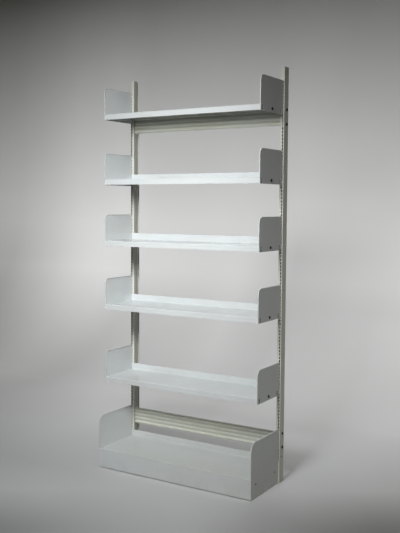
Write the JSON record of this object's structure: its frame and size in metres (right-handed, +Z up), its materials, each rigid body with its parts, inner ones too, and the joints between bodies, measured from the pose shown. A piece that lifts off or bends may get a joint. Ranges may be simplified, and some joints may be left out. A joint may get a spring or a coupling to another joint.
{
  "type": "library shelving bay",
  "caption": "Free-standing painted steel library bay: slotted uprights, ribbed stretchers, a deep base unit and hook-on cantilever shelves with end brackets.",
  "frame": {"origin": "middle of the footprint, on the floor", "axes": "+Z up, -Y the front with the shelves, +X to the right seen from the front"},
  "size_m": [0.9586, 0.352, 2.12],
  "materials": {
    "off_white_paint": "satin off-white enamel",
    "cream_paint": "aged cream enamel",
    "blackened_steel": "blackened",
    "zinc_steel": "zinc plated"
  },
  "bodies": {
    "frame": {"upright_left": "off_white_paint", "upright_right": "off_white_paint", "stretcher_bottom": "cream_paint", "stretcher_top": "cream_paint", "stretcher_bolt_bottom_left_lower": "blackened_steel", "stretcher_bolt_bottom_left_upper": "blackened_steel", "stretcher_bolt_bottom_right_lower": "blackened_steel", "stretcher_bolt_bottom_right_upper": "blackened_steel", "stretcher_bolt_top_left_lower": "blackened_steel", "stretcher_bolt_top_left_upper": "blackened_steel", "stretcher_bolt_top_right_lower": "blackened_steel", "stretcher_bolt_top_right_upper": "blackened_steel", "base_panel_left": "off_white_paint", "base_panel_right": "off_white_paint", "base_tray": "off_white_paint", "base_screw_left_front": "zinc_steel", "base_screw_left_rear": "zinc_steel", "base_screw_right_front": "zinc_steel", "base_screw_right_rear": "zinc_steel"},
    "shelf_1": {"shelf_1_tray": "off_white_paint", "shelf_1_bracket_left": "off_white_paint", "shelf_1_bracket_right": "off_white_paint", "shelf_1_bolt_left": "blackened_steel", "shelf_1_bolt_right": "blackened_steel", "shelf_1_nut_left": "zinc_steel", "shelf_1_nut_right": "zinc_steel"},
    "shelf_2": {"shelf_2_tray": "off_white_paint", "shelf_2_bracket_left": "off_white_paint", "shelf_2_bracket_right": "off_white_paint", "shelf_2_bolt_left": "blackened_steel", "shelf_2_bolt_right": "blackened_steel", "shelf_2_nut_left": "zinc_steel", "shelf_2_nut_right": "zinc_steel"},
    "shelf_3": {"shelf_3_tray": "off_white_paint", "shelf_3_bracket_left": "off_white_paint", "shelf_3_bracket_right": "off_white_paint", "shelf_3_bolt_left": "blackened_steel", "shelf_3_bolt_right": "blackened_steel", "shelf_3_nut_left": "zinc_steel", "shelf_3_nut_right": "zinc_steel"},
    "shelf_4": {"shelf_4_tray": "off_white_paint", "shelf_4_bracket_left": "off_white_paint", "shelf_4_bracket_right": "off_white_paint", "shelf_4_bolt_left": "blackened_steel", "shelf_4_bolt_right": "blackened_steel", "shelf_4_nut_left": "zinc_steel", "shelf_4_nut_right": "zinc_steel"},
    "shelf_5": {"shelf_5_tray": "off_white_paint", "shelf_5_bracket_left": "off_white_paint", "shelf_5_bracket_right": "off_white_paint", "shelf_5_bolt_left": "blackened_steel", "shelf_5_bolt_right": "blackened_steel", "shelf_5_nut_left": "zinc_steel", "shelf_5_nut_right": "zinc_steel"}
  },
  "joints": [
    {"name": "shelf_1_lift", "type": "slide", "parent": "frame", "child": "shelf_1", "axis": [0, 0, 1], "range_m": [0, 0.007]},
    {"name": "shelf_2_lift", "type": "slide", "parent": "frame", "child": "shelf_2", "axis": [0, 0, 1], "range_m": [0, 0.007]},
    {"name": "shelf_3_lift", "type": "slide", "parent": "frame", "child": "shelf_3", "axis": [0, 0, 1], "range_m": [0, 0.007]},
    {"name": "shelf_4_lift", "type": "slide", "parent": "frame", "child": "shelf_4", "axis": [0, 0, 1], "range_m": [0, 0.007]},
    {"name": "shelf_5_lift", "type": "slide", "parent": "frame", "child": "shelf_5", "axis": [0, 0, 1], "range_m": [0, 0.007]}
  ]
}
